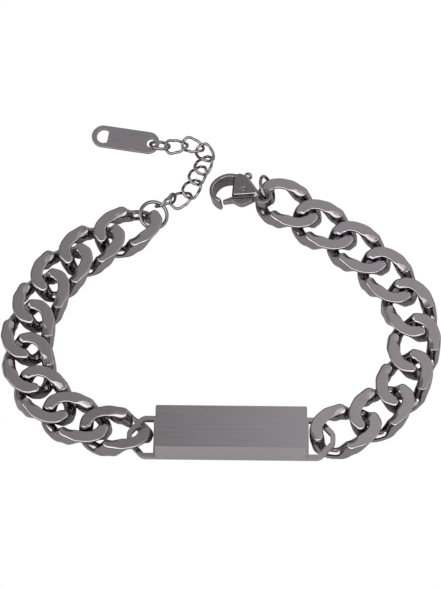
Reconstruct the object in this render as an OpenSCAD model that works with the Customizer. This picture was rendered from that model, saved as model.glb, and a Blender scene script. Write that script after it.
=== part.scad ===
// Id bracelet: a solid name plate, two runs of flat ground curb links, a lobster clasp
// and a small extension chain that ends in a flat tag. It lies open on a table.
// +X points to the clasp's side, +Y away from the viewer and +Z up. The origin lies on the
// table in the middle of the outline of the whole bracelet.

/* [Name plate] */
// Length of the solid bar
plate_len = 30; // [24:0.5:40]
// Width of the bar and of its end tabs
plate_w = 9.6; // [8.6:0.2:10.6]
// Height of the bar
plate_h = 5; // [3.5:0.25:6]
// Height of the bar's underside above the table, where the end links hold it
plate_lift = 2.05; // [1.95:0.05:2.15]
// Length of each end tab
tab_len = 5.7; // [5.4:0.1:6]
// Thickness of the end tabs
tab_t = 0.9; // [0.7:0.05:0.95]
// Width of the rim round the tab's slot
tab_rim = 1.0; // [0.8:0.05:1.05]
// Straight side of a tab before its corner is cut off
tab_side = 2.7; // [2.4:0.1:3]
// Width of the tab's outer edge
tab_tip_w = 2.4; // [2:0.1:3]
// Metal left between the bar and the slot
tab_web = 0.4; // [0.2:0.1:0.6]
// Corner radius seen from above
plate_corner = 0.4; // [0.2:0.1:0.8]

/* [Large links] */
// Length of a large link
link_len = 15; // [14.2:0.1:16]
// Width of a large link
link_w = 11; // [10.8:0.1:11.1]
// Width of a large link's wire
link_wire_w = 2.9; // [2.7:0.05:2.95]
// Height of the wire before it is ground
link_wire_h = 4.3; // [4:0.05:4.35]
// Thickness of the chain after both faces are ground flat
link_t = 3.5; // [3.3:0.05:3.5]
// Clearance between a wire that dips and the one that crosses over it
link_gap = 0.3; // [0.25:0.05:0.4]

/* [Rings] */
// Mean diameter of the ring at the extension's end of the chain
end_ring_d = 5.64; // [5.5:0.02:5.8]
// Wire of the end ring
end_ring_wire = 0.75; // [0.6:0.05:0.8]
// Mean diameter of the clasp's ring
clasp_ring_d = 5.8; // [5.7:0.05:6]
// Wire of the clasp's ring
clasp_ring_wire = 0.72; // [0.6:0.02:0.76]
// Mean diameter of the tag's ring
tag_ring_d = 4; // [3.9:0.05:4.1]
// Wire of the tag's ring
tag_ring_wire = 0.66; // [0.5:0.02:0.7]

/* [Extension chain] */
// Length of a small link
ext_len = 5.3; // [5.2:0.05:5.4]
// Width of a small link
ext_w = 4; // [3.9:0.05:4.1]
// Wire of a small link
ext_wire = 0.65; // [0.5:0.05:0.7]
// Clearance between a small wire that dips and the one that crosses over it
ext_gap = 0.39; // [0.3:0.01:0.45]

/* [Tag] */
// Length of the tag
tag_len = 14.6; // [13:0.2:16]
// Width of the tag
tag_w = 4.8; // [4.6:0.1:5.2]
// Thickness of the tag
tag_t = 0.7; // [0.5:0.05:0.75]
// Hole for the tag's ring
tag_hole_d = 1.9; // [1.8:0.05:2.1]
// Centre of the ring's hole from the tag's end
tag_hole_in = 1.75; // [1.6:0.05:1.9]
// Round side of the hole at the tag's free end
tag_window_d = 3; // [2.4:0.1:3.4]
// Centre of the free end's hole from the tag's end
tag_window_in = 2.6; // [2.4:0.1:3]

/* [Clasp] */
// Thickness of the clasp
clasp_t = 3.2; // [2.9:0.1:3.4]
// Distance from the middle of the tail eye to the middle of the hook
clasp_reach = 7.6; // [7.3:0.1:7.9]
// Outer radius of the hook
hook_r = 4; // [3.8:0.1:4.2]
// Thickness of the hook in plan
hook_wall = 0.95; // [0.8:0.05:1.1]
// Outer radius of the tail eye
eye_r = 1.85; // [1.75:0.05:1.95]
// Hole of the tail eye
eye_hole_d = 2.1; // [2:0.05:2.2]
// Height of the tail eye
eye_h = 1.8; // [1.6:0.1:2.2]
// Thickness of the lever
lever_t = 1.1; // [0.9:0.05:1.2]
// Clearance above and below the lever, and round it in the hook
lever_gap = 0.12; // [0.1:0.01:0.15]
// Diameter of the pivot pin
pin_d = 1; // [0.8:0.05:1.2]
// Clearance round the pivot pin
pin_gap = 0.03; // [0.02:0.01:0.05]
// Radius of the thumb knob
knob_r = 0.88; // [0.8:0.02:0.94]

/* [Hidden] */
half_plate = plate_len / 2;
half_loop = (link_len - link_wire_w) / 2;
link_mid_z = link_t / 2;
link_twist = (link_wire_h + link_gap) / 2;
ext_twist = (ext_wire + ext_gap) / 2;
link_wire = [link_wire_w, link_wire_h];

// How a link's loop is rounded and where its wire dips: shares of the loop's half length
// where the dip starts and is full, and of its half width where it is full
link_power = 2.3;
link_dip = [0.05, 0.545, 0.545];
ext_power = 2.2;
ext_dip = [0.045, 0.69, 0.715];
link_rings = 24;
link_sides = 8;
ext_rings = 16;
ext_sides = 6;

// The routes keep their shape when a size changes, because they count in these units: 1 mm
// where a large link's hole is 9.2 long, a small link's hole 4 long and the clasp as it is
run_unit = (link_len - 2 * link_wire_w) / 9.2;
ext_unit = (ext_len - 2 * ext_wire) / 4;
clasp_unit = clasp_reach / 7.6;

// Middle of the name plate, which puts the middle of the whole outline at the origin
plate_at = [2.3, -36.6] * run_unit;

// The first link's wire in each tab's slot: clearance from the slot's web, and Y of the
// middle of the wire
left_hold = [0.09, 0.35];
right_hold = [0.22, -0.06];

// The large links from the plate outwards. Columns: X outwards and Y of the centre from the
// first link's, heading of the link seen from above, and for a tipped link how far its
// middle is raised, its roll about its length and its pitch. The link in each tab's slot is
// tipped so that one side goes under the slot's rim
left_route = [
    [0, 0, 170, 0.47, 5.4, 3.6],
    [8, 2.8, 154],
    [14.5, 8.1, 128],
    [18, 15.6, 102],
    [18.5, 23.8, 84],
    [16.2, 31.9, 68],
    [12.3, 39.1, 53],
    [6.3, 44.9, 39],
    [-1, 49.5, 29]
];
right_route = [
    [0, 0, 24, 0.48, 5.8, 3.3],
    [7.3, 4.9, 45, 0.12, 1, 0.9],
    [12, 12, 68],
    [14.1, 20.4, 83],
    [13.4, 29, 109],
    [9.2, 36.9, 124],
    [3.3, 43.7, 136],
    [-3.8, 49.4, 143],
    [-11.2, 54.8, 145]
];

// Both runs open out where their ends would leave too little room for the clasp and the
// extension to lie side by side
end_room = clasp_reach + hook_r + 2.2 * ext_w;
run_spread = max(0, end_room - ends_apart(0)) / 2;

// The small pieces from the end of the left run outwards. Columns: X and Y from the last
// large link's outer end, heading, height of the centre, roll about its length, pitch
end_ring_lie = [-1.36, 0.36, 32, 1.6, 25, -3];
ext_route = [
    [1.14, 3.56, 34, 1.96, -71, 0],
    [4.24, 4.86, 33, 1.01, 0, -3],
    [6.44, 7.76, 64, 0.96, 2, -1],
    [7.64, 11.26, 70, 0.98, -4, 0],
    [8.84, 13.86, 69, 1.02, -7, -1],
    [9.04, 16.96, 116, 1.0, 0, 3],
    [6.54, 18.86, 157, 1.04, 3, -3],
    [3.04, 18.66, 191, 1.08, 5, -2]
];
tag_ring_lie = [-0.46, 18.56, 164, 1.46, 33, 2];

// The tag, with X and Y of its small hole from the middle of the tag's ring
tag_lie = [-1.86, 0.54, 169, 1.42, -17, 2];

// The clasp's parts from the end of the right run, with the same columns
clasp_lie = [1.04, -3.7, -2.5, 3.88, -4, -10.4];
clasp_ring_lie = [1.64, -0.9, 85, 3.12, 61, 11];

// The clasp seen from above, with the eye at the origin and the hook towards -X. Corners
// hold X as a share of the reach, then Y and radius as shares of the hook's radius
hook_side = 0.575;
hook_from = 60;
hook_to = 246;
clasp_bevel = 0.45;
clasp_bevel_h = 0.7;
clasp_corners = [
    [-0.71, 1.25, 0.34],
    [-0.566, 1.125, 0.275],
    [-0.25, 0.225, 0.225],
    [-0.79, 0.175, 0.19],
    [-0.29, 0.175, 0.19]
];
lever_nose = [-1.105, -0.1, 0.075];
lever_finger = [-0.842, 0.025, 0.155];
lever_bulge = [-0.605, -0.0875, 0.325];
lever_heel = [-0.408, -0.05, 0.19];
lever_boss = [-0.566, 0.4, 0.275];
lever_stalk = [-0.5, 1.3, 0.14];
lever_knob = [-0.5, 1.58, 0];
slot_outline = [
    [-1.03, -0.65], [-1.03, 0.73], [-0.66, 0.78], [-0.66, 1.8],
    [0.03, 1.8], [-0.13, 0.75], [-0.3, 0.3], [-0.3, -0.65]
];
slot_h = lever_t + 2 * lever_gap;
hook_centre = spot([-1, hook_side]);
pivot = spot(lever_boss);

steel = [0.47, 0.45, 0.46];
dark_steel = [0.40, 0.38, 0.39];

// A place in the clasp's outline from a row of shares
function spot(row) = [row[0] * clasp_reach, row[1] * hook_r];

// Smooth step from 0 at lo to 1 at hi
function smooth(v, lo, hi) = let (t = min(1, max(0, (v - lo) / (hi - lo)))) t * t * (3 - 2 * t);

// Signed power that turns a circle into a rounder or squarer oval
function squared(c, power) = sign(c) * pow(abs(c), 2 / power);

// A point of the loop's centreline: an oval in plan whose wire dips at two opposite
// corners and rises at the other two
function loop_point(a, half, power, dip, twist) =
    let (
        x = half.x * squared(cos(a), power),
        y = half.y * squared(sin(a), power),
        along = smooth(abs(x) / half.x, dip[0], dip[1]),
        across = smooth(abs(y) / half.y, 0, dip[2])
    )
    [x, y, -twist * sign(x * y) * along * across];

// Direction out of the loop at a ring, level and square to the centreline
function outward(before, after) =
    let (t = after - before) [t.y, -t.x, 0] / norm([t.x, t.y]);

// A link as one tube round its loop, with an oval section that stays upright
module twisted_link(size, wire, power, dip, twist, rings, sides) {
    half = (size - [wire.x, wire.x]) / 2;
    path = [for (i = [0:rings - 1]) loop_point(360 * i / rings, half, power, dip, twist)];
    skin = [
        for (i = [0:rings - 1])
        let (out = outward(path[(i + rings - 1) % rings], path[(i + 1) % rings]))
        for (j = [0:sides - 1])
        let (a = 360 * (j + 0.5) / sides)
        path[i] + out * cos(a) * wire.x / 2 + [0, 0, sin(a) * wire.y / 2]
    ];
    faces = [
        for (i = [0:rings - 1], j = [0:sides - 1])
        let (
            a = i * sides + j,
            b = i * sides + (j + 1) % sides,
            c = ((i + 1) % rings) * sides + (j + 1) % sides,
            d = ((i + 1) % rings) * sides + j
        )
        each [[a, b, c], [a, c, d]]
    ];
    polyhedron(skin, faces, convexity = 6);
}

// Puts a piece where a row of a route says, measured from a starting place
module lay(row, from = [0, 0], unit = 1) {
    translate([plate_at.x + from.x, plate_at.y + from.y])
    translate([row[0], row[1], row[3]] * unit)
    rotate([row[4], row[5], row[2]])
    children();
}

function along(heading, length) = [cos(heading), sin(heading)] * length;

// Distance in X between the ends of the two runs
function ends_apart(spread) =
    run_end(right_route, right_hold, 1, spread).x - run_end(left_route, left_hold, -1, spread).x;

// A row of lay() for a large link: side is -1 for the left run and 1 for the right run, and
// spread is how far the run's last link moves outwards, and the others in proportion
function link_row(route, hold, side, i, spread = run_spread) =
    let (
        r = route[i - 1],
        out = half_plate + tab_web + link_wire_w / 2 + hold.x,
        first = [side * out, hold.y] + along(route[0][2], half_loop),
        opened = spread * (i - 1) / (len(route) - 1),
        place = first + [side * (r[0] * run_unit + opened), r[1] * run_unit],
        tip = len(r) > 3 ? [r[3] * run_unit, r[4], r[5]] : [0, 0, 0]
    )
    [place.x, place.y, r[2], link_mid_z + tip[0], tip[1], tip[2]];

// The outer end of the last link of a run
function run_end(route, hold, side, spread = run_spread) =
    let (row = link_row(route, hold, side, len(route), spread))
    [row[0], row[1]] + along(row[2], link_len / 2);

left_end = run_end(left_route, left_hold, -1);
right_end = run_end(right_route, right_hold, 1);
tag_end = left_end + [tag_ring_lie[0], tag_ring_lie[1]] * ext_unit;

module large_link(row) {
    color(steel)
    lay(row)
    intersection() {
        twisted_link(
            [link_len, link_w], link_wire, link_power, link_dip, link_twist, link_rings, link_sides
        );
        cube([2 * link_len, 2 * link_w, link_t], center = true);
    }
}

module small_link(row) {
    color(steel)
    lay(row, left_end, ext_unit)
    twisted_link(
        [ext_len, ext_w], [ext_wire, ext_wire], ext_power, ext_dip, ext_twist, ext_rings, ext_sides
    );
}

module jump_ring(mean_d, wire) {
    color(steel)
    rotate_extrude($fn = 32)
    translate([mean_d / 2, 0])
    circle(d = wire, $fn = 16);
}

// A rectangle with round corners, built from squares and circles
module round_rect(size, r) {
    square([size.x - 2 * r, size.y], center = true);
    square([size.x, size.y - 2 * r], center = true);
    for (sx = [-1, 1], sy = [-1, 1])
        translate([sx * (size.x / 2 - r), sy * (size.y / 2 - r)]) circle(r, $fn = 24);
}

// Outline of the right tab from the bar's end, with both outer corners cut off
module tab_outline() {
    polygon([
        [-plate_corner * 2, -plate_w / 2], [tab_side, -plate_w / 2], [tab_len, -tab_tip_w / 2],
        [tab_len, tab_tip_w / 2], [tab_side, plate_w / 2], [-plate_corner * 2, plate_w / 2]
    ]);
}

// Slot that the end link passes through, one rim's width inside the outline
module tab_slot() {
    turn = atan2((plate_w - tab_tip_w) / 2, tab_len - tab_side);
    side = tab_side - tab_rim * tan(turn / 2);
    tip = tab_tip_w / 2 - tab_rim * tan((90 - turn) / 2);
    half = plate_w / 2 - tab_rim;
    reach = tab_len - tab_rim;
    polygon([
        [tab_web, -half], [side, -half], [reach, -tip],
        [reach, tip], [side, half], [tab_web, half]
    ]);
}

module id_plate() {
    color(steel)
    translate([plate_at.x, plate_at.y, plate_lift]) {
        linear_extrude(plate_h) round_rect([plate_len, plate_w], plate_corner);
        for (turn = [0, 180])
            rotate(turn)
            translate([half_plate, 0])
            linear_extrude(tab_t)
            difference() {
                tab_outline();
                tab_slot();
            }
    }
}

module left_link(i) large_link(link_row(left_route, left_hold, -1, i));

module right_link(i) large_link(link_row(right_route, right_hold, 1, i));

module end_ring() lay(end_ring_lie, left_end, ext_unit) jump_ring(end_ring_d, end_ring_wire);

module ext_link(i) small_link(ext_route[i - 1]);

module tag_ring() lay(tag_ring_lie, left_end, ext_unit) jump_ring(tag_ring_d, tag_ring_wire);

// Flat tag with round ends: a small hole at the origin for its ring and a D-shaped one at
// the free end
module tag() {
    middle_x = tag_len / 2 - tag_hole_in;
    window_x = tag_len - tag_window_in - tag_hole_in;
    color(steel)
    lay(tag_lie, tag_end, ext_unit)
    translate([0, 0, -tag_t / 2])
    linear_extrude(tag_t)
    difference() {
        translate([middle_x, 0]) {
            square([tag_len - tag_w, tag_w], center = true);
            for (side = [-1, 1]) translate([side * (tag_len - tag_w) / 2, 0]) circle(d = tag_w, $fn = 64);
        }
        circle(d = tag_hole_d, $fn = 32);
        translate([window_x, 0]) difference() {
            circle(d = tag_window_d, $fn = 48);
            translate([-tag_window_d * 0.8, 0]) square([tag_window_d, tag_window_d], center = true);
        }
    }
}

module clasp_ring() {
    lay(clasp_ring_lie, right_end, clasp_unit) jump_ring(clasp_ring_d, clasp_ring_wire);
}

// Round post of a row of shares, bevelled at both ends
module bevelled_post(row) {
    r = row[2] * hook_r;
    translate(spot(row)) {
        cylinder(h = clasp_t, r = r - clasp_bevel, center = true, $fn = 32);
        cylinder(h = clasp_t - 2 * clasp_bevel_h, r = r, center = true, $fn = 32);
    }
}

// The hook is an arc with a bevelled section
module hook() {
    inner = hook_r - hook_wall;
    c = hook_wall / 4;
    translate(hook_centre)
    rotate(hook_from)
    rotate_extrude(angle = hook_to - hook_from, $fn = 72)
    polygon([
        [inner, -clasp_t / 2], [hook_r - c, -clasp_t / 2], [hook_r, -clasp_t / 2 + c],
        [hook_r, clasp_t / 2 - c], [hook_r - c, clasp_t / 2], [inner, clasp_t / 2]
    ]);
}

module clasp_body() {
    color(steel)
    lay(clasp_lie, right_end, clasp_unit)
    difference() {
        union() {
            hull() for (row = clasp_corners) bevelled_post(row);
            hook();
            cylinder(h = eye_h, r = eye_r, center = true, $fn = 64);
        }
        linear_extrude(slot_h, center = true) polygon([for (row = slot_outline) spot(row)]);
        translate(pivot) cylinder(h = 2 * clasp_t, d = pin_d + 2 * pin_gap, center = true, $fn = 32);
        cylinder(h = 2 * clasp_t, d = eye_hole_d, center = true, $fn = 48);
    }
}

// Flat round post of a row of shares, as thick as the lever
module lever_post(row) {
    translate(spot(row)) cylinder(h = lever_t, r = row[2] * hook_r, center = true, $fn = 32);
}

module clasp_lever() {
    color(dark_steel)
    lay(clasp_lie, right_end, clasp_unit)
    difference() {
        union() {
            hull() { lever_post(lever_nose); lever_post(lever_finger); }
            hull() { lever_post(lever_finger); lever_post(lever_bulge); lever_post(lever_heel); }
            hull() { lever_post(lever_bulge); lever_post(lever_boss); lever_post(lever_heel); }
            hull() { lever_post(lever_boss); lever_post(lever_stalk); }
            translate(spot(lever_knob)) sphere(knob_r, $fn = 32);
        }
        translate(pivot) cylinder(h = 2 * lever_t, d = pin_d + 2 * pin_gap, center = true, $fn = 32);
    }
}

module clasp_pin() {
    color(dark_steel)
    lay(clasp_lie, right_end, clasp_unit)
    translate(pivot)
    cylinder(h = clasp_t, d = pin_d, center = true, $fn = 32);
}

id_plate();
for (i = [1:len(left_route)]) left_link(i);
for (i = [1:len(right_route)]) right_link(i);
end_ring();
for (i = [1:len(ext_route)]) ext_link(i);
tag_ring();
tag();
clasp_ring();
clasp_body();
clasp_lever();
clasp_pin();
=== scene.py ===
import math
from collections import namedtuple

import bmesh
import bpy
from mathutils import Euler, Matrix, Vector


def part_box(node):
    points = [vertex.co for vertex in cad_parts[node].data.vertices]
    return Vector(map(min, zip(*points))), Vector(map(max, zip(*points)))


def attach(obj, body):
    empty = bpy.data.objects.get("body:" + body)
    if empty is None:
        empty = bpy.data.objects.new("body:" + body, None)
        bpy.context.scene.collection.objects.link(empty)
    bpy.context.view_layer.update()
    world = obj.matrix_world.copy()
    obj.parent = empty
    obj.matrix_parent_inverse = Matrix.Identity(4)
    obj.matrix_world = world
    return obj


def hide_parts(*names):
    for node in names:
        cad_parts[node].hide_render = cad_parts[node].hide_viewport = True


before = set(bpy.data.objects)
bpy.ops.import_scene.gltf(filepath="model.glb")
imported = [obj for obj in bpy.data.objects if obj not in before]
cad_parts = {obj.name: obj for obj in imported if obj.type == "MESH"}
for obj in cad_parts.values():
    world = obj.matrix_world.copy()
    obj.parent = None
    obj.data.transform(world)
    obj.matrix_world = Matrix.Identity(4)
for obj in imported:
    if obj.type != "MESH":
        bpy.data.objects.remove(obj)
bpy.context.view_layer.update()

# Sizes below are in millimetres, and a finished piece is scaled to metres once
MM = 0.001
TAU = 2 * math.pi
# Points of a mesh that lie nearer than this are joined
WELD = 0.0005

# Camera, fitted to the name plate and the curve of the links in the photograph
PHOTO_HEIGHT = 589
FOCAL_PIXELS = 3240
SENSOR_HEIGHT = 24
CAMERA_PLACE = (4.33, -374.2, 550.0)
CAMERA_AIM = (-0.24, -0.43, 0.0)
NEAREST_SEEN = 10

# The name plate: its place, its bar, and the web of its tabs between the bar and the slot
PLATE_LOW, PLATE_HIGH = (Vector(corner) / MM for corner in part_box("id_plate"))
PLATE_MIDDLE = (PLATE_LOW + PLATE_HIGH) / 2
BAR_LENGTH = 30.0
TAB_WEB = 0.4

# Sizes of a link, which are also the inputs of its node tree:
# - Thickness is what the grinding leaves between the two flats
# - Twist is how far the wire dips or rises at a corner
# - Power is how square the loop is, and 2 makes an ellipse
# - Dip from, Dip full and Side full say where on the way to a corner the wire starts to dip and
#   has dipped in full, as shares of the loop's half length and half width
# - Wear is the share of the wire that tumbling leaves
# - Deepening is how much deeper the wire is between the crossings, as a share
# - Edge is how broadly the flats' edges are worn, and Taper how many times more so on the inner
#   side, where the wire dips
# - Around and Section count the skin's sides along the loop and round the wire
LINK_THICKNESS = 3.5
LARGE_LINK = {
    "Length": 15.0,
    "Width": 11.0,
    "Wire width": 2.9,
    "Wire height": 4.3,
    "Thickness": LINK_THICKNESS,
    "Twist": 2.3,
    "Power": 2.3,
    "Dip from": 0.05,
    "Dip full": 0.545,
    "Side full": 0.545,
    "Wear": 0.955,
    "Deepening": 0.4,
    "Edge": 0.4,
    "Taper": 3.2,
    "Around": 144,
    "Section": 40,
}
SMALL_LINK = {
    "Length": 5.3,
    "Width": 4.0,
    "Wire width": 0.65,
    "Wire height": 0.65,
    "Thickness": 10.0,
    "Twist": 0.52,
    "Power": 2.2,
    "Dip from": 0.045,
    "Dip full": 0.69,
    "Side full": 0.715,
    "Wear": 0.95,
    "Deepening": 0.0,
    "Edge": 0.1,
    "Taper": 0.0,
    "Around": 72,
    "Section": 40,
}
# A ring is a link that is level, round and unworn. Each ring's mean diameter and wire follow
ROUND_RING = dict(SMALL_LINK, Twist=0.0, Power=2.0, Wear=1.0, Around=96)
END_RING_SIZE = (5.64, 0.75)
TAG_RING_SIZE = (4.0, 0.66)
CLASP_RING_SIZE = (5.8, 0.72)

# How far each run's first link lies past the slot's rim, and off the plate's middle line
LEFT_HOLD = (0.09, 0.35)
RIGHT_HOLD = (0.22, -0.06)
# The large links from the plate outwards, as in the solids. Columns: X outwards and Y of the
# centre from the first link's, heading, how far the middle is raised, roll and pitch
LEFT_ROUTE = (
    (0, 0, 170, 0.47, 5.4, 3.6),
    (8, 2.8, 154, 0, 0, 0),
    (14.5, 8.1, 128, 0, 0, 0),
    (18, 15.6, 102, 0, 0, 0),
    (18.5, 23.8, 84, 0, 0, 0),
    (16.2, 31.9, 68, 0, 0, 0),
    (12.3, 39.1, 53, 0, 0, 0),
    (6.3, 44.9, 39, 0, 0, 0),
    (-1, 49.5, 29, 0, 0, 0),
)
RIGHT_ROUTE = (
    (0, 0, 24, 0.48, 5.8, 3.3),
    (7.3, 4.9, 45, 0.12, 1, 0.9),
    (12, 12, 68, 0, 0, 0),
    (14.1, 20.4, 83, 0, 0, 0),
    (13.4, 29, 109, 0, 0, 0),
    (9.2, 36.9, 124, 0, 0, 0),
    (3.3, 43.7, 136, 0, 0, 0),
    (-3.8, 49.4, 143, 0, 0, 0),
    (-11.2, 54.8, 145, 0, 0, 0),
)
# Where the joint of a left link's wire shows, by the link's number, from its centre, and a
# place off the link where none shows
LEFT_SEAMS = {1: (-2.4, -3.9, 0), 9: (2.2, 3.9, 0)}
NO_SEAM = (0, 99, 0)

# The small pieces, from the outer end of the left run. Columns: X, Y, heading, height of the
# centre, roll and pitch
END_RING = (-1.36, 0.36, 32, 1.6, 25, -3)
SMALL_ROUTE = (
    (1.14, 3.56, 34, 1.96, -71, 0),
    (4.24, 4.86, 33, 1.01, 0, -3),
    (6.44, 7.76, 64, 0.96, 2, -1),
    (7.64, 11.26, 70, 0.98, -4, 0),
    (8.84, 13.86, 69, 1.02, -7, -1),
    (9.04, 16.96, 116, 1.0, 0, 3),
    (6.54, 18.86, 157, 1.04, 3, -3),
    (3.04, 18.66, 191, 1.08, 5, -2),
)
TAG_RING = (-0.46, 18.56, 164, 1.46, 33, 2)

# The clasp and its ring, from the outer end of the right run, with the same columns
CLASP = (1.04, -3.7, -2.5, 3.88, -4, -10.4)
CLASP_RING = (1.64, -0.9, 85, 3.12, 61, 11)

# Broken edges of the sheet and the bar, and the rounder outer corners of the plate's tabs
EDGE_WIDTH = 0.12
EDGE_STEPS = 3
EDGE_FROM_DEGREES = 35
SAME_FACE_DEGREES = 0.5
TABS_FROM = BAR_LENGTH / 2 + 1
TAB_CORNER = 0.75
TAB_CORNER_STEPS = 5
ROUND_PROFILE = 0.5
# How far the broad faces decide how light turns at an edge, where 50 is as the narrow ones do
BROAD_FACES = 90

# Tumbling of the clasp: grain of the skin, rounds of smoothing and the strength of a round.
# Past HOOK_FROM, along the clasp, its hook is worn further, to a round wire
BODY_GRAIN, BODY_ROUNDS = 0.07, 16
LEVER_GRAIN, LEVER_ROUNDS = 0.05, 10
TUMBLING = 0.5
HOOK_FROM = -8.2
HOOK_BLEND = 0.8
HOOK_ROUNDS = 60

# Tints of the plating in sRGB. It reflects about a third of the light
PLATING = "#9B9598"
PLATING_DARK = "#969093"
PLATING_LIGHT = "#A09A9D"
BRUSHED_DARK = "#8F898C"
BRUSHED_LIGHT = "#A5A0A3"
BLASTED_TINT = "#B9B3B6"
WIRE_TINT = "#857F82"
SHEET_TINT = "#8F898C"
SEAM_TINT = "#2A2627"

# Roughness of each finish, where two numbers are its smoothest and its roughest marks
TUMBLED_ROUGHNESS = 0.1
GROUND_ROUGHNESS = (0.24, 0.33)
BRUSHED_ROUGHNESS = (0.13, 0.21)
BLASTED_ROUGHNESS = 0.5
WIRE_ROUGHNESS = (0.08, 0.2)
SHEET_ROUGHNESS = (0.36, 0.42)
CAST_ROUGHNESS = (0.12, 0.24)

# Length and width of each finish's marks, and their depth too on the links. Real brushing is
# finer, about 0.05 wide, and is drawn as coarse as it needs to show
GROUND_MARKS = (4.0, 1 / 6, 1.0)
BRUSHED_MARKS = (9.0, 0.14)
WIRE_MARKS = (0.6, 0.6)
SHEET_MARKS = (3.0, 0.2)
CAST_MARKS = (1.2, 1.2)
BRUSHED_DEPTH = 0.01
BRUSHED_STRENGTH = 0.25
# How finely the pattern of the marks is broken up, and the values that most of it lies between
MARK_DETAIL = 3.0
MARK_LOW, MARK_HIGH = 0.3, 0.7
# Where on its worn edge a link turns from tumbled to ground, from 0 on its side to 1 on its flat
GROUND_FROM, GROUND_FULL = 0.3, 0.8
# How upright a face's normal is where the plate turns from blasted to brushed
BRUSHED_FROM, BRUSHED_FULL = 0.6, 0.9
# Half the width and half the length of the seam where a link's wire was closed
SEAM_HALF_WIDTH = 0.09
SEAM_HALF_LENGTH = 2.5

# The light table: its radius in metres, the grey that the bracelet mirrors, and the white that
# the camera sees there and behind it
TABLE_RADIUS = 1.5
TABLE_SIDES = 96
TABLE_TINT = "#BCBCBC"
WHITE = "#FFFFFF"
TABLE_GLOW = 1.0
# The room is darker on the left, and its halves meet softly over this much of a direction
ROOM_LEFT = 0.39
ROOM_RIGHT = 1.0
ROOM_MEETING = 0.03
# Panels of the studio, by direction seen from the bracelet, each one over those before it.
# Columns: heading from +X, height above the floor, half width, half height and softness of
# the edge, all in degrees, and brightness
PANELS = (
    (90, 7, 80, 14, 6, 0.1),
    (-90, 93, 60, 11, 5, 0.22),
    (-90, 8, 80, 14, 4, 0.03),
    (-100, 50, 42, 20, 4, 3.0),
    (188, 46, 14, 14, 5, 2.6),
    (-6, 36, 8, 20, 5, 1.6),
)


def add(tree, kind, inputs=(), **settings):
    """Adds a node. Inputs map a socket's name or number to a value, a socket or a node."""
    new = tree.nodes.new(kind)
    for key, value in settings.items():
        setattr(new, key, value)
    for key, value in dict(inputs).items():
        socket = new.inputs[key]
        if isinstance(value, bpy.types.Node):
            tree.links.new(value.outputs[0], socket)
        elif isinstance(value, bpy.types.NodeSocket):
            tree.links.new(value, socket)
        else:
            socket.default_value = value
    return new


def linear(hex_code):
    """An sRGB hex colour as linear RGBA."""
    channels = [int(hex_code[i:i + 2], 16) / 255 for i in (1, 3, 5)]
    return (*[c / 12.92 if c <= 0.04045 else ((c + 0.055) / 1.055) ** 2.4 for c in channels], 1)


def linked_object(name, data):
    """An object of the scene that holds a mesh or a camera."""
    obj = bpy.data.objects.new(name, data)
    bpy.context.collection.objects.link(obj)
    return obj


def evaluated_mesh(obj):
    """The object's mesh with its modifiers applied, and the object itself removed."""
    bpy.context.view_layer.update()
    graph = bpy.context.evaluated_depsgraph_get()
    mesh = bpy.data.meshes.new_from_object(obj.evaluated_get(graph))
    obj.modifiers.clear()
    bpy.data.objects.remove(obj)
    return mesh


# Camera


def add_camera():
    """The camera where the photograph was taken from, held level and without any shift."""
    data = bpy.data.cameras.new("camera")
    data.sensor_fit = "VERTICAL"
    data.sensor_height = SENSOR_HEIGHT
    data.lens = FOCAL_PIXELS / PHOTO_HEIGHT * SENSOR_HEIGHT
    data.clip_start = NEAREST_SEEN * MM
    place = Vector(CAMERA_PLACE) * MM
    back = (place - Vector(CAMERA_AIM) * MM).normalized()
    right = Vector((0, 0, 1)).cross(back).normalized()
    turned = Matrix((right, back.cross(right), back)).transposed().to_4x4()
    camera = linked_object("camera", data)
    camera.matrix_world = Matrix.Translation(place) @ turned
    bpy.context.scene.camera = camera


# Places along the routes


# Where a piece lies: its centre, its heading, roll and pitch in degrees, and a link's seam
Place = namedtuple("Place", "x y heading z roll pitch seam")


def turned_angles(place):
    """The place's roll, pitch and heading as angles about X, Y and Z."""
    return [math.radians(angle) for angle in (place.roll, place.pitch, place.heading)]


def level_step(heading, length):
    """A level step of a length at a heading."""
    return Vector((math.cos(math.radians(heading)), math.sin(math.radians(heading)))) * length


def run_places(route, hold, side, seams):
    """Places of a run of large links: side is -1 for the left run and 1 for the right run."""
    out = BAR_LENGTH / 2 + TAB_WEB + LARGE_LINK["Wire width"] / 2 + hold[0]
    half_loop = (LARGE_LINK["Length"] - LARGE_LINK["Wire width"]) / 2
    start = PLATE_MIDDLE.xy + Vector((side * out, hold[1])) + level_step(route[0][2], half_loop)
    places = []
    for i, (x, y, heading, raised, roll, pitch) in enumerate(route):
        seam = seams.get(i + 1, NO_SEAM)
        height = LINK_THICKNESS / 2 + raised
        places.append(Place(start.x + side * x, start.y + y, heading, height, roll, pitch, seam))
    return places


def run_end(places):
    """The outer end of a run's last link."""
    last = places[-1]
    return Vector((last.x, last.y)) + level_step(last.heading, LARGE_LINK["Length"] / 2)


def placed_from(start, row):
    """The place of a small piece, from its row and the end of the run that it hangs on."""
    x, y, *rest = row
    return Place(start.x + x, start.y + y, *rest, NO_SEAM)


def laid_at(place):
    """The matrix that lays a piece at a place."""
    turned = Euler(turned_angles(place)).to_matrix().to_4x4()
    return Matrix.Translation((place.x, place.y, place.z)) @ turned


LEFT_PLACES = run_places(LEFT_ROUTE, LEFT_HOLD, -1, LEFT_SEAMS)
RIGHT_PLACES = run_places(RIGHT_ROUTE, RIGHT_HOLD, 1, {})
LEFT_END = run_end(LEFT_PLACES)
RIGHT_END = run_end(RIGHT_PLACES)
CLASP_LAID = laid_at(placed_from(RIGHT_END, CLASP))


# Geometry Nodes: a link as one closed tube, laid at every point of a route


# Where along its half length and half width a link's neighbours cross it
CROSSING = (0.1, 0.5)
# Where along its half length a link's side turns from rising to dipping
SIDE_TURNS = (-0.35, 0.35)
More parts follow.
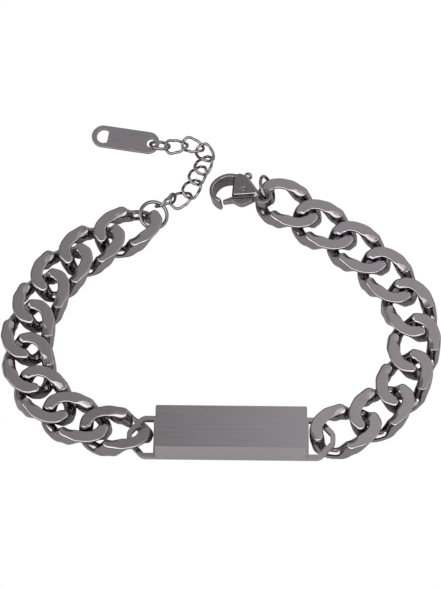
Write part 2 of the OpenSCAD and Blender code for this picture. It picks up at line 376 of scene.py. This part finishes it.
# Shares of half the section where a ground face ends and where its rounding ends
FACE_ENDS = 0.1
ROUND_ENDS = 0.3
# The most that a rounding takes of a face, and how strongly it is pulled to its corner
MOST_WORN = 0.97
CORNER_PULL = 1.45

# Steps of the link's formula, each one a Math node, or a Map Range node for SMOOTH and SHARE.
# Columns: the value's name, the operation and its two inputs, which are earlier values, sizes
# or numbers
LINK_STEPS = (
    ("turn", "MULTIPLY", "u", TAU),
    ("cos", "COSINE", "turn", 0),
    ("sin", "SINE", "turn", 0),
    ("cos_sign", "SIGN", "cos", 0),
    ("sin_sign", "SIGN", "sin", 0),
    ("cos_size", "ABSOLUTE", "cos", 0),
    ("sin_size", "ABSOLUTE", "sin", 0),
    # The oval centreline, as shares of its half length and half width
    ("rounding", "DIVIDE", 2, "Power"),
    ("share_x", "POWER", "cos_size", "rounding"),
    ("share_y", "POWER", "sin_size", "rounding"),
    ("loop_length", "SUBTRACT", "Length", "Wire width"),
    ("loop_width", "SUBTRACT", "Width", "Wire width"),
    ("half_x", "MULTIPLY", "loop_length", 0.5),
    ("half_y", "MULTIPLY", "loop_width", 0.5),
    ("signed_x", "MULTIPLY", "share_x", "cos_sign"),
    ("signed_y", "MULTIPLY", "share_y", "sin_sign"),
    ("path_x", "MULTIPLY", "signed_x", "half_x"),
    ("path_y", "MULTIPLY", "signed_y", "half_y"),
    # The wire dips at two opposite corners and rises at the other two
    ("along", "SMOOTH", "share_x", ("Dip from", "Dip full")),
    ("across", "SMOOTH", "share_y", (0, "Side full")),
    ("corner", "MULTIPLY", "cos_sign", "sin_sign"),
    ("full", "MULTIPLY", "along", "across"),
    ("way", "MULTIPLY", "corner", "full"),
    ("drop", "MULTIPLY", "way", "Twist"),
    ("middle_z", "MULTIPLY", "drop", -1),
    # Level direction out of the loop
    ("less", "SUBTRACT", "Power", 1),
    ("steepness", "MULTIPLY", "less", "rounding"),
    ("lean_x", "POWER", "cos_size", "steepness"),
    ("lean_y", "POWER", "sin_size", "steepness"),
    ("signed_lean_x", "MULTIPLY", "lean_x", "cos_sign"),
    ("signed_lean_y", "MULTIPLY", "lean_y", "sin_sign"),
    ("normal_x", "DIVIDE", "signed_lean_x", "half_x"),
    ("normal_y", "DIVIDE", "signed_lean_y", "half_y"),
    ("square_x", "MULTIPLY", "normal_x", "normal_x"),
    ("square_y", "MULTIPLY", "normal_y", "normal_y"),
    ("square", "ADD", "square_x", "square_y"),
    ("size", "SQRT", "square", 0),
    ("out_x", "DIVIDE", "normal_x", "size"),
    ("out_y", "DIVIDE", "normal_y", "size"),
    # The wire's oval section. It is deeper between the places where links cross, so that
    # the grinding leaves broad faces there
    ("cross_x", "SMOOTH", "share_x", CROSSING),
    ("cross_y", "SMOOTH", "share_y", CROSSING),
    ("crossing", "MULTIPLY", "cross_x", "cross_y"),
    ("free", "SUBTRACT", 1, "crossing"),
    ("deeper", "MULTIPLY", "free", "Deepening"),
    ("growth", "ADD", "deeper", 1),
    ("worn", "MULTIPLY", "Wear", 0.5),
    ("half_w", "MULTIPLY", "Wire width", "worn"),
    ("below", "MULTIPLY", "Wire height", "worn"),
    ("above", "MULTIPLY", "below", "growth"),
    # Where the grinding cuts it above and below, as shares of its height and as angles
    ("top_cut", "MULTIPLY", "Thickness", 0.5),
    ("low_cut", "MULTIPLY", "Thickness", -0.5),
    ("to_top", "SUBTRACT", "top_cut", "middle_z"),
    ("to_low", "SUBTRACT", "low_cut", "middle_z"),
    ("top_over", "MAXIMUM", "to_top", 0),
    ("top_under", "MINIMUM", "to_top", 0),
    ("low_over", "MAXIMUM", "to_low", 0),
    ("low_under", "MINIMUM", "to_low", 0),
    ("top_over_share", "DIVIDE", "top_over", "above"),
    ("top_under_share", "DIVIDE", "top_under", "below"),
    ("low_over_share", "DIVIDE", "low_over", "above"),
    ("low_under_share", "DIVIDE", "low_under", "below"),
    ("top_share", "ADD", "top_over_share", "top_under_share"),
    ("low_share", "ADD", "low_over_share", "low_under_share"),
    ("top_z", "MINIMUM", "top_share", 1),
    ("low_z", "MAXIMUM", "low_share", -1),
    ("top_angle", "ARCSINE", "top_z", 0),
    ("low_angle", "ARCSINE", "low_z", 0),
    # Each cut's edge is worn round: how far in the rounding starts, and how far down. On the
    # inner side it widens where the wire dips, so that the ground face runs out in a point
    ("edge_share", "DIVIDE", "Edge", "half_w"),
    ("edge_turn", "DIVIDE", "half_w", "below"),
    ("top_edge", "COSINE", "top_angle", 0),
    ("low_edge", "COSINE", "low_angle", 0),
    ("doubled", "MULTIPLY", "v", 2),
    ("past", "SUBTRACT", 1, "doubled"),
    ("half_side", "SIGN", "past", 0),
    ("outside", "MINIMUM", "half_side", 0),
    ("inner", "MULTIPLY", "outside", "Taper"),
    ("down_x", "MULTIPLY", "share_x", "corner"),
    ("down", "SMOOTH", "down_x", SIDE_TURNS),
    ("dipping", "MULTIPLY", "down", "across"),
    ("rising", "SUBTRACT", "across", "dipping"),
    ("top_more", "MULTIPLY", "dipping", "inner"),
    ("low_more", "MULTIPLY", "rising", "inner"),
    ("top_wear", "SUBTRACT", 1, "top_more"),
    ("low_wear", "SUBTRACT", 1, "low_more"),
    ("top_wide", "MULTIPLY", "edge_share", "top_wear"),
    ("low_wide", "MULTIPLY", "edge_share", "low_wear"),
    ("top_most", "MULTIPLY", "top_edge", MOST_WORN),
    ("low_most", "MULTIPLY", "low_edge", MOST_WORN),
    ("top_soft", "MINIMUM", "top_wide", "top_most"),
    ("low_soft", "MINIMUM", "low_wide", "low_most"),
    ("top_in", "SUBTRACT", "top_edge", "top_soft"),
    ("low_in", "SUBTRACT", "low_edge", "low_soft"),
    ("top_turn", "MULTIPLY", "top_soft", "edge_turn"),
    ("low_turn", "MULTIPLY", "low_soft", "edge_turn"),
    ("high_end", "SUBTRACT", "top_angle", "top_turn"),
    ("low_end", "ADD", "low_angle", "low_turn"),
    # Half the section from the middle of the lower face to the middle of the upper one:
    # face, rounding, side, rounding, face
    ("remote", "ABSOLUTE", "past", 0),
    ("up", "SUBTRACT", 1, "remote"),
    ("low_face", "SHARE", "up", (0.0, FACE_ENDS)),
    ("low_round", "SHARE", "up", (FACE_ENDS, ROUND_ENDS)),
    ("side", "SHARE", "up", (ROUND_ENDS, 1 - ROUND_ENDS)),
    ("top_round", "SHARE", "up", (1 - ROUND_ENDS, 1 - FACE_ENDS)),
    ("top_face", "SHARE", "up", (1 - FACE_ENDS, 1.0)),
    ("span", "SUBTRACT", "high_end", "low_end"),
    ("risen", "MULTIPLY", "span", "side"),
    ("angle", "ADD", "low_end", "risen"),
    ("angle_r", "COSINE", "angle", 0),
    ("angle_z", "SINE", "angle", 0),
    ("low_r", "COSINE", "low_end", 0),
    ("low_h", "SINE", "low_end", 0),
    ("high_r", "COSINE", "high_end", 0),
    ("high_h", "SINE", "high_end", 0),
    # Each rounding is a curve with one corner: its pull to the corner and to its far end
    ("low_square", "MULTIPLY", "low_round", "low_round"),
    ("low_bow", "SUBTRACT", "low_round", "low_square"),
    ("low_pull", "MULTIPLY", "low_bow", CORNER_PULL),
    ("top_square", "MULTIPLY", "top_round", "top_round"),
    ("top_bow", "SUBTRACT", "top_round", "top_square"),
    ("top_pull", "MULTIPLY", "top_bow", CORNER_PULL),
    ("low_start", "MULTIPLY", "low_face", "low_in"),
    ("low_r_far", "SUBTRACT", "low_r", "low_in"),
    ("low_h_far", "SUBTRACT", "low_h", "low_z"),
    ("top_r_corner", "SUBTRACT", "top_edge", "high_r"),
    ("top_h_corner", "SUBTRACT", "top_z", "high_h"),
    ("top_r_far", "SUBTRACT", "top_in", "high_r"),
    ("low_r_pull", "MULTIPLY", "low_pull", "low_soft"),
    ("low_r_end", "MULTIPLY", "low_square", "low_r_far"),
    ("low_h_end", "MULTIPLY", "low_square", "low_h_far"),
    ("top_r_pull", "MULTIPLY", "top_pull", "top_r_corner"),
    ("top_h_pull", "MULTIPLY", "top_pull", "top_h_corner"),
    ("top_r_end", "MULTIPLY", "top_square", "top_r_far"),
    ("top_h_end", "MULTIPLY", "top_square", "top_h_corner"),
    ("top_gone", "MULTIPLY", "top_face", "top_in"),
    ("side_r", "SUBTRACT", "angle_r", "low_r"),
    ("side_h", "SUBTRACT", "angle_z", "low_h"),
    # How far the skin lies out from the middle of the wire and above it
    ("r_1", "ADD", "low_start", "low_r_pull"),
    ("r_2", "ADD", "r_1", "low_r_end"),
    ("r_3", "ADD", "r_2", "side_r"),
    ("r_4", "ADD", "r_3", "top_r_pull"),
    ("r_5", "ADD", "r_4", "top_r_end"),
    ("r_6", "SUBTRACT", "r_5", "top_gone"),
    ("r", "MULTIPLY", "r_6", "half_side"),
    ("z_1", "ADD", "low_z", "low_h_end"),
    ("z_2", "ADD", "z_1", "side_h"),
    ("z_3", "ADD", "z_2", "top_h_pull"),
    ("z", "ADD", "z_3", "top_h_end"),
    # 1 on the ground faces and 0 on the sides
    ("not_low", "SUBTRACT", 1, "low_round"),
    ("ground", "ADD", "not_low", "top_round"),
    # The point of the skin, in millimetres from the link's centre
    ("reach", "MULTIPLY", "r", "half_w"),
    ("aside_x", "MULTIPLY", "out_x", "reach"),
    ("aside_y", "MULTIPLY", "out_y", "reach"),
    ("z_over", "MAXIMUM", "z", 0),
    ("z_under", "MINIMUM", "z", 0),
    ("over", "MULTIPLY", "z_over", "above"),
    ("under", "MULTIPLY", "z_under", "below"),
    ("height", "ADD", "over", "under"),
    ("point_x", "ADD", "path_x", "aside_x"),
    ("point_y", "ADD", "path_y", "aside_y"),
    ("point_z", "ADD", "middle_z", "height"),
)


def link_values(tree, sizes):
    """The values of the link's formula by name, at each point of a grid of u and v."""
    values = {label: sizes.outputs[label] for label in LARGE_LINK}
    spot = add(tree, "ShaderNodeSeparateXYZ", {0: add(tree, "GeometryNodeInputPosition")})
    for name, axis in (("u", "X"), ("v", "Y")):
        shifted = {0: spot.outputs[axis], 1: 0.5}
        values[name] = add(tree, "ShaderNodeMath", shifted, operation="ADD")
    for name, operation, first, second in LINK_STEPS:
        value = values.get(first, first)
        if operation in ("SMOOTH", "SHARE"):
            start, end = (values.get(limit, limit) for limit in second)
            limits = {"Value": value, "From Min": start, "From Max": end}
            easing = "SMOOTHSTEP" if operation == "SMOOTH" else "LINEAR"
            values[name] = add(tree, "ShaderNodeMapRange", limits, interpolation_type=easing)
        else:
            pair = {0: value, 1: values.get(second, second)}
            values[name] = add(tree, "ShaderNodeMath", pair, operation=operation)
    return values


def link_skin(tree, sizes):
    """One link: a grid with u along the loop and v round the wire, bent to a closed skin."""
    rings = add(tree, "ShaderNodeMath", {0: sizes.outputs["Around"], 1: 1.0}, operation="ADD")
    sides = add(tree, "ShaderNodeMath", {0: sizes.outputs["Section"], 1: 1.0}, operation="ADD")
    unit = {"Size X": 1.0, "Size Y": 1.0, "Vertices X": rings, "Vertices Y": sides}
    grid = add(tree, "GeometryNodeMeshGrid", unit)
    values = link_values(tree, sizes)
    xyz = {i: values["point_" + axis] for i, axis in enumerate("xyz")}
    point = add(tree, "ShaderNodeCombineXYZ", xyz)
    # The values are stored while the grid is still flat, because they are read from it
    ground = {0: grid, "Name": "ground", "Value": values["ground"]}
    faced = add(tree, "GeometryNodeStoreNamedAttribute", ground, data_type="FLOAT")
    place = {0: faced, "Name": "place", "Value": point}
    known = add(tree, "GeometryNodeStoreNamedAttribute", place, data_type="FLOAT_VECTOR")
    kept = add(
        tree, "GeometryNodeInputNamedAttribute", {"Name": "place"}, data_type="FLOAT_VECTOR"
    )
    bent = add(tree, "GeometryNodeSetPosition", {0: known, "Position": kept})
    return add(tree, "GeometryNodeMergeByDistance", {0: bent, "Distance": WELD})


def link_tree():
    """The node tree that makes a link from its sizes and lays one at each point of a route."""
    tree = bpy.data.node_groups.new("laid_links", "GeometryNodeTree")
    tree.interface.new_socket("Geometry", in_out="INPUT", socket_type="NodeSocketGeometry")
    for label in LARGE_LINK:
        kind = "NodeSocketInt" if label in ("Around", "Section") else "NodeSocketFloat"
        tree.interface.new_socket(label, in_out="INPUT", socket_type=kind)
    tree.interface.new_socket("Metal", in_out="INPUT", socket_type="NodeSocketMaterial")
    tree.interface.new_socket("Geometry", in_out="OUTPUT", socket_type="NodeSocketGeometry")
    sizes = add(tree, "NodeGroupInput")
    link = link_skin(tree, sizes)
    turn = add(
        tree, "GeometryNodeInputNamedAttribute", {"Name": "turn"}, data_type="FLOAT_VECTOR"
    )
    turned = add(tree, "FunctionNodeEulerToRotation", {0: turn})
    route = {"Points": sizes.outputs["Geometry"], "Instance": link, "Rotation": turned}
    laid = add(tree, "GeometryNodeInstanceOnPoints", route)
    real = add(tree, "GeometryNodeRealizeInstances", {0: laid})
    metal = {0: real, "Material": sizes.outputs["Metal"]}
    dressed = add(tree, "GeometryNodeSetMaterial", metal)
    add(tree, "NodeGroupOutput", {0: dressed})
    return tree


def laid_links(name, tree, places, sizes, metal):
    """A mesh of links of one size and metal, one at each place."""
    points = bpy.data.meshes.new(name + "_points")
    points.from_pydata([(place.x, place.y, place.z) for place in places], [], [])
    points.attributes.new("turn", "FLOAT_VECTOR", "POINT")
    points.attributes.new("seam", "FLOAT_VECTOR", "POINT")
    for i, place in enumerate(places):
        points.attributes["turn"].data[i].vector = turned_angles(place)
        points.attributes["seam"].data[i].vector = place.seam
    obj = linked_object(name + "_points", points)
    modifier = obj.modifiers.new("links", "NODES")
    modifier.node_group = tree
    for item in tree.interface.items_tree:
        if item.in_out == "INPUT" and item.name in sizes:
            modifier[item.identifier] = sizes[item.name]
        elif item.name == "Metal":
            modifier[item.identifier] = metal
    return evaluated_mesh(obj)


# Materials


def plated_steel(name, tint=PLATING):
    """Stainless steel with a dark gunmetal plating: a grey metal with a faint warm cast."""
    material = bpy.data.materials.new(name)
    material.use_nodes = True
    tree = material.node_tree
    shader = tree.nodes["Principled BSDF"]
    shader.inputs["Base Color"].default_value = linear(tint)
    shader.inputs["Metallic"].default_value = 1
    return material, tree, shader


def marks(tree, place, scale, roughness):
    """Fine marks of the tools: their pattern, and the roughness that they give the metal."""
    mapping = add(tree, "ShaderNodeMapping", {"Vector": place, "Scale": scale})
    noise = {"Vector": mapping, "Scale": 1.0, "Detail": MARK_DETAIL}
    pattern = add(tree, "ShaderNodeTexNoise", noise)
    smoothest, roughest = roughness
    limits = {"Value": pattern, "From Min": MARK_LOW, "From Max": MARK_HIGH}
    limits.update({"To Min": smoothest, "To Max": roughest})
    return pattern, add(tree, "ShaderNodeMapRange", limits)


def drawn_out(length, width):
    """The scale of marks of a length along X and a width, on coordinates in metres."""
    return [1 / MM / size for size in (length, width, width)]


def marked_steel(name, tint, size, roughness):
    """Plated steel of one tint, whose marks of a length and a width show in its gloss alone."""
    material, tree, shader = plated_steel(name, tint)
    place = add(tree, "ShaderNodeTexCoord").outputs["Object"]
    rough = marks(tree, place, drawn_out(*size), roughness)[1]
    tree.links.new(rough.outputs[0], shader.inputs["Roughness"])
    return material


def soldered_seam(tree, place):
    """1 on the thin seam where a link's wire was closed, and 0 off it."""
    seam = add(tree, "ShaderNodeAttribute", attribute_name="seam").outputs["Vector"]
    away = add(tree, "ShaderNodeVectorMath", {0: place, 1: seam}, operation="SUBTRACT")
    off = add(tree, "ShaderNodeSeparateXYZ", {0: away})
    near = {}
    for i, (axis, half) in enumerate((("X", SEAM_HALF_WIDTH), ("Y", SEAM_HALF_LENGTH))):
        distance = add(tree, "ShaderNodeMath", {0: off.outputs[axis]}, operation="ABSOLUTE")
        near[i] = add(tree, "ShaderNodeMath", {0: distance, 1: half}, operation="LESS_THAN")
    return add(tree, "ShaderNodeMath", near, operation="MULTIPLY")


def ground_links():
    """Curb links ground flat on both faces and tumbled: satin flats, mirror-bright shoulders."""
    material, tree, shader = plated_steel("ground_and_tumbled_steel")
    place = add(tree, "ShaderNodeAttribute", attribute_name="place").outputs["Vector"]
    grain, rough = marks(tree, place, [1 / size for size in GROUND_MARKS], GROUND_ROUGHNESS)
    ground = add(tree, "ShaderNodeAttribute", attribute_name="ground").outputs["Fac"]
    limits = {"Value": ground, "From Min": GROUND_FROM, "From Max": GROUND_FULL}
    flat = add(tree, "ShaderNodeMapRange", limits)
    finishes = {"Factor": flat, "A": TUMBLED_ROUGHNESS, "B": rough}
    finish = add(tree, "ShaderNodeMix", finishes, data_type="FLOAT")
    tree.links.new(finish.outputs[0], shader.inputs["Roughness"])
    tones = {"Factor": grain, "A": linear(PLATING_DARK), "B": linear(PLATING_LIGHT)}
    tone = add(tree, "ShaderNodeMix", tones, data_type="RGBA")
    seam = soldered_seam(tree, place)
    tints = {"Factor": seam, "A": tone.outputs[2], "B": linear(SEAM_TINT)}
    tint = add(tree, "ShaderNodeMix", tints, data_type="RGBA")
    tree.links.new(tint.outputs[2], shader.inputs["Base Color"])
    return material


def brushed_plate():
    """The name plate: its broad face brushed along its length in fine straight lines. The
    bar's sides are only blasted, so they are rougher and paler."""
    material, tree, shader = plated_steel("brushed_steel")
    spot = add(tree, "ShaderNodeTexCoord")
    scale = drawn_out(*BRUSHED_MARKS)
    lines, rough = marks(tree, spot.outputs["Object"], scale, BRUSHED_ROUGHNESS)
    upright = add(tree, "ShaderNodeSeparateXYZ", {0: spot.outputs["Normal"]}).outputs["Z"]
    level = add(tree, "ShaderNodeMath", {0: upright}, operation="ABSOLUTE")
    limits = {"Value": level, "From Min": BRUSHED_FROM, "From Max": BRUSHED_FULL}
    brushed = add(tree, "ShaderNodeMapRange", limits)
    finishes = {"Factor": brushed, "A": BLASTED_ROUGHNESS, "B": rough}
    finish = add(tree, "ShaderNodeMix", finishes, data_type="FLOAT")
    tree.links.new(finish.outputs[0], shader.inputs["Roughness"])
    tones = {"Factor": lines, "A": linear(BRUSHED_DARK), "B": linear(BRUSHED_LIGHT)}
    tone = add(tree, "ShaderNodeMix", tones, data_type="RGBA")
    tints = {"Factor": brushed, "A": linear(BLASTED_TINT), "B": tone.outputs[2]}
    tint = add(tree, "ShaderNodeMix", tints, data_type="RGBA")
    tree.links.new(tint.outputs[2], shader.inputs["Base Color"])
    grooves = {"Height": lines, "Strength": BRUSHED_STRENGTH, "Distance": BRUSHED_DEPTH * MM}
    bump = add(tree, "ShaderNodeBump", grooves)
    tree.links.new(bump.outputs[0], shader.inputs["Normal"])
    return material


def drawn_wire():
    """Rings and small links bent from drawn wire: bright, with faint marks of the die."""
    return marked_steel("drawn_steel_wire", WIRE_TINT, WIRE_MARKS, WIRE_ROUGHNESS)


def stamped_tag():
    """The tag, stamped from sheet: satin faces and a rounded bright edge."""
    return marked_steel("stamped_steel_sheet", SHEET_TINT, SHEET_MARKS, SHEET_ROUGHNESS)


def cast_clasp():
    """The clasp, cast and tumbled: soft edges and a smooth, nearly bright skin."""
    return marked_steel("cast_and_tumbled_steel", PLATING, CAST_MARKS, CAST_ROUGHNESS)


# How a piece is finished


def outwards(mesh):
    """Turns the faces of a closed mesh outwards."""
    shell = bmesh.new()
    shell.from_mesh(mesh)
    bmesh.ops.recalc_face_normals(shell, faces=shell.faces)
    shell.to_mesh(mesh)
    shell.free()


def shaded(mesh):
    """The mesh shaded smooth, with the broad faces deciding how the light turns at edges."""
    outwards(mesh)
    for face in mesh.polygons:
        face.use_smooth = True
    obj = linked_object(mesh.name, mesh)
    obj.modifiers.new("light", "WEIGHTED_NORMAL").weight = BROAD_FACES
    return evaluated_mesh(obj)


def show_piece(name, mesh, nodes, body="bracelet", metal=None):
    """Shows a finished mesh, laid out in millimetres, in place of its CAD nodes. A mesh of
    links has its metal already."""
    mesh = shaded(mesh)
    mesh.name = name
    mesh.transform(Matrix.Scale(MM, 4))
    if metal:
        mesh.materials.clear()
        mesh.materials.append(metal)
    obj = linked_object(name, mesh)
    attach(obj, body)
    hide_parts(*nodes)


def node_copy(node, laid):
    """A copy of a CAD node in millimetres, with its loose triangles joined, moved back from
    where it is laid."""
    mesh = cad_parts[node].data.copy()
    mesh.transform(laid.inverted() @ Matrix.Scale(1 / MM, 4))
    shell = bmesh.new()
    shell.from_mesh(mesh)
    bmesh.ops.remove_doubles(shell, verts=shell.verts, dist=WELD)
    shell.to_mesh(mesh)
    shell.free()
    return linked_object(node + "_copy", mesh)


def round_tabs(shell):
    """Rounds the upright outer corners of the plate's two tabs."""
    corners = [edge for edge in shell.edges if edge.is_convex]
    tabs = [edge for edge in corners if abs(edge.verts[0].co.x) > TABS_FROM]
    lean = {edge: edge.verts[0].co.xy - edge.verts[1].co.xy for edge in tabs}
    upright = [edge for edge in tabs if lean[edge].length < 2 * WELD]
    bmesh.ops.bevel(
        shell,
        geom=upright,
        offset=TAB_CORNER,
        segments=TAB_CORNER_STEPS,
        profile=ROUND_PROFILE,
        affect="EDGES",
        clamp_overlap=True,
    )


def bevelled(node, laid, tabs=False):
    """A CAD node with its faces made whole and its edges broken, and its tabs rounded first
    where it has them."""
    obj = node_copy(node, laid)
    shell = bmesh.new()
    shell.from_mesh(obj.data)
    slack = math.radians(SAME_FACE_DEGREES)
    bmesh.ops.dissolve_limit(shell, angle_limit=slack, verts=shell.verts, edges=shell.edges)
    if tabs:
        round_tabs(shell)
    shell.to_mesh(obj.data)
    shell.free()
    broken = obj.modifiers.new("edges", "BEVEL")
    broken.width = EDGE_WIDTH
    broken.segments = EDGE_STEPS
    broken.limit_method = "ANGLE"
    broken.angle_limit = math.radians(EDGE_FROM_DEGREES)
    mesh = evaluated_mesh(obj)
    mesh.transform(laid)
    return mesh


def tumbled(node, grain, rounds):
    """A CAD node of the clasp, moved back from where it is laid, with its edges worn round as
    tumbling leaves a casting."""
    obj = node_copy(node, CLASP_LAID)
    remesh = obj.modifiers.new("skin", "REMESH")
    remesh.mode = "VOXEL"
    remesh.voxel_size = grain
    wear = obj.modifiers.new("wear", "SMOOTH")
    wear.factor = TUMBLING
    wear.iterations = rounds
    return evaluated_mesh(obj)


def worn_hook(mesh):
    """The clasp's body with its hook worn further, and a soft passage before it."""
    obj = linked_object("clasp_hook", mesh)
    hook = obj.vertex_groups.new(name="hook")
    for vertex in mesh.vertices:
        past = (HOOK_FROM - vertex.co.x) / HOOK_BLEND
        if past > 0:
            hook.add([vertex.index], min(past, 1), "REPLACE")
    wear = obj.modifiers.new("hook wear", "SMOOTH")
    wear.factor = TUMBLING
    wear.iterations = HOOK_ROUNDS
    wear.vertex_group = "hook"
    return evaluated_mesh(obj)


# Pieces


def node_names(start, count):
    """The names of CAD nodes that are numbered from 1."""
    return [f"{start}_{i + 1}" for i in range(count)]


def make_runs(tree):
    """The two runs of large curb links."""
    metal = ground_links()
    for name, places in (("left", LEFT_PLACES), ("right", RIGHT_PLACES)):
        mesh = laid_links(name + "_run", tree, places, LARGE_LINK, metal)
        show_piece(name + "_run", mesh, node_names(name + "_link", len(places)))


def make_extension(tree, wire):
    """The short chain of small curb links that carries the tag."""
    places = [placed_from(LEFT_END, row) for row in SMALL_ROUTE]
    mesh = laid_links("extension", tree, places, SMALL_LINK, wire)
    show_piece("extension", mesh, node_names("ext_link", len(places)))


def make_ring(name, tree, size, place, wire):
    """A jump ring of a mean diameter and a wire."""
    mean, thick = size
    sizes = dict(ROUND_RING, Length=mean + thick, Width=mean + thick)
    sizes["Wire width"] = sizes["Wire height"] = thick
    mesh = laid_links(name + "_wire", tree, [place], sizes, wire)
    show_piece(name + "_wire", mesh, [name])


def make_chain():
    """The runs, the extension and the three rings, all from one node tree."""
    tree = link_tree()
    make_runs(tree)
    wire = drawn_wire()
    make_extension(tree, wire)
    make_ring("end_ring", tree, END_RING_SIZE, placed_from(LEFT_END, END_RING), wire)
    make_ring("tag_ring", tree, TAG_RING_SIZE, placed_from(LEFT_END, TAG_RING), wire)
    make_ring("clasp_ring", tree, CLASP_RING_SIZE, placed_from(RIGHT_END, CLASP_RING), wire)


def make_plate():
    """The name plate: the bar and its two slotted tabs in one."""
    mesh = bevelled("id_plate", Matrix.Translation(PLATE_MIDDLE), tabs=True)
    show_piece("name_plate", mesh, ["id_plate"], metal=brushed_plate())


def make_tag():
    """The flat tag at the end of the extension."""
    mesh = bevelled("tag", Matrix.Identity(4))
    show_piece("end_tag", mesh, ["tag"], metal=stamped_tag())


def make_hook_body(metal):
    """The clasp's hook and the housing of its lever, which are one casting."""
    mesh = worn_hook(tumbled("clasp_body", BODY_GRAIN, BODY_ROUNDS))
    mesh.transform(CLASP_LAID)
    show_piece("hook_body", mesh, ["clasp_body"], metal=metal)


def make_thumb_lever(metal):
    """The clasp's lever, which turns about its pin."""
    mesh = tumbled("clasp_lever", LEVER_GRAIN, LEVER_ROUNDS)
    mesh.transform(CLASP_LAID)
    show_piece("thumb_lever", mesh, ["clasp_lever"], body="lever", metal=metal)


def make_hinge_pin(metal):
    """The pin that the lever turns on."""
    mesh = bevelled("clasp_pin", CLASP_LAID)
    show_piece("hinge_pin", mesh, ["clasp_pin"], metal=metal)


def make_clasp():
    """The lobster clasp, of three pieces in one metal."""
    metal = cast_clasp()
    make_hook_body(metal)
    make_thumb_lever(metal)
    make_hinge_pin(metal)


# Floor and light


def add_floor():
    """A white light table: the camera sees it evenly lit from below, with no shadow."""
    bpy.ops.mesh.primitive_circle_add(vertices=TABLE_SIDES, radius=TABLE_RADIUS, fill_type="NGON")
    floor = bpy.context.object
    floor.name = "floor"
    paper = bpy.data.materials.new("white_light_table")
    paper.use_nodes = True
    tree = paper.node_tree
    tree.nodes.clear()
    seen = add(tree, "ShaderNodeLightPath").outputs["Is Camera Ray"]
    sheet = add(tree, "ShaderNodeBsdfDiffuse", {"Color": linear(TABLE_TINT)})
    glow = add(tree, "ShaderNodeEmission", {"Color": linear(WHITE), "Strength": TABLE_GLOW})
    lit = add(tree, "ShaderNodeMixShader", {0: seen, 1: sheet, 2: glow})
    add(tree, "ShaderNodeOutputMaterial", {0: lit})
    floor.data.materials.append(paper)


def panel_share(tree, looking, heading, rise, half_width, half_height, edge):
    """1 where a direction meets a panel, which fades to 0 across the panel's soft edge."""
    turn, lift = math.radians(heading), math.radians(rise)
    level = math.cos(lift)
    middle = Vector((math.cos(turn) * level, math.sin(turn) * level, math.sin(lift)))
    side = Vector((-math.sin(turn), math.cos(turn), 0))
    faced = add(tree, "ShaderNodeVectorMath", {0: looking, 1: middle}, operation="DOT_PRODUCT")
    ahead = faced.outputs["Value"]
    share = add(tree, "ShaderNodeMath", {0: ahead, 1: 0.0}, operation="GREATER_THAN")
    for way, half in ((side, half_width), (middle.cross(side), half_height)):
        beside = add(tree, "ShaderNodeVectorMath", {0: looking, 1: way}, operation="DOT_PRODUCT")
        slope = {0: beside.outputs["Value"], 1: ahead}
        off = add(tree, "ShaderNodeMath", slope, operation="DIVIDE")
        far = add(tree, "ShaderNodeMath", {0: off}, operation="ABSOLUTE")
        inner, outer = (math.tan(math.radians(angle)) for angle in (half, half + edge))
        fade = {"Value": far, "From Min": inner, "From Max": outer, "To Min": 1.0, "To Max": 0.0}
        within = add(tree, "ShaderNodeMapRange", fade, interpolation_type="SMOOTHSTEP")
        share = add(tree, "ShaderNodeMath", {0: share, 1: within}, operation="MULTIPLY")
    return share


def add_studio():
    """Soft boxes and dark cards in a grey room, and plain white where the camera looks on."""
    world = bpy.data.worlds.new("studio")
    world.use_nodes = True
    bpy.context.scene.world = world
    tree = world.node_tree
    tree.nodes.clear()
    looking = add(tree, "ShaderNodeTexCoord").outputs["Generated"]
    rightwards = {0: looking, 1: (1, 0, 0)}
    right = add(tree, "ShaderNodeVectorMath", rightwards, operation="DOT_PRODUCT")
    meeting = {"Value": right.outputs["Value"], "From Min": -ROOM_MEETING, "From Max": ROOM_MEETING}
    room = {**meeting, "To Min": ROOM_LEFT, "To Max": ROOM_RIGHT}
    light = add(tree, "ShaderNodeMapRange", room, interpolation_type="SMOOTHSTEP")
    for *panel, brightness in PANELS:
        share = panel_share(tree, looking, *panel)
        change = add(tree, "ShaderNodeMath", {0: brightness, 1: light}, operation="SUBTRACT")
        over = {0: share, 1: change, 2: light}
        light = add(tree, "ShaderNodeMath", over, operation="MULTIPLY_ADD")
    seen = add(tree, "ShaderNodeLightPath").outputs["Is Camera Ray"]
    views = {"Factor": seen, "A": light, "B": TABLE_GLOW}
    strength = add(tree, "ShaderNodeMix", views, data_type="FLOAT").outputs[0]
    sky = add(tree, "ShaderNodeBackground", {"Color": linear(WHITE), "Strength": strength})
    add(tree, "ShaderNodeOutputWorld", {0: sky})
    bpy.context.scene.view_settings.view_transform = "Standard"


add_camera()
make_chain()
make_plate()
make_tag()
make_clasp()
add_floor()
add_studio()
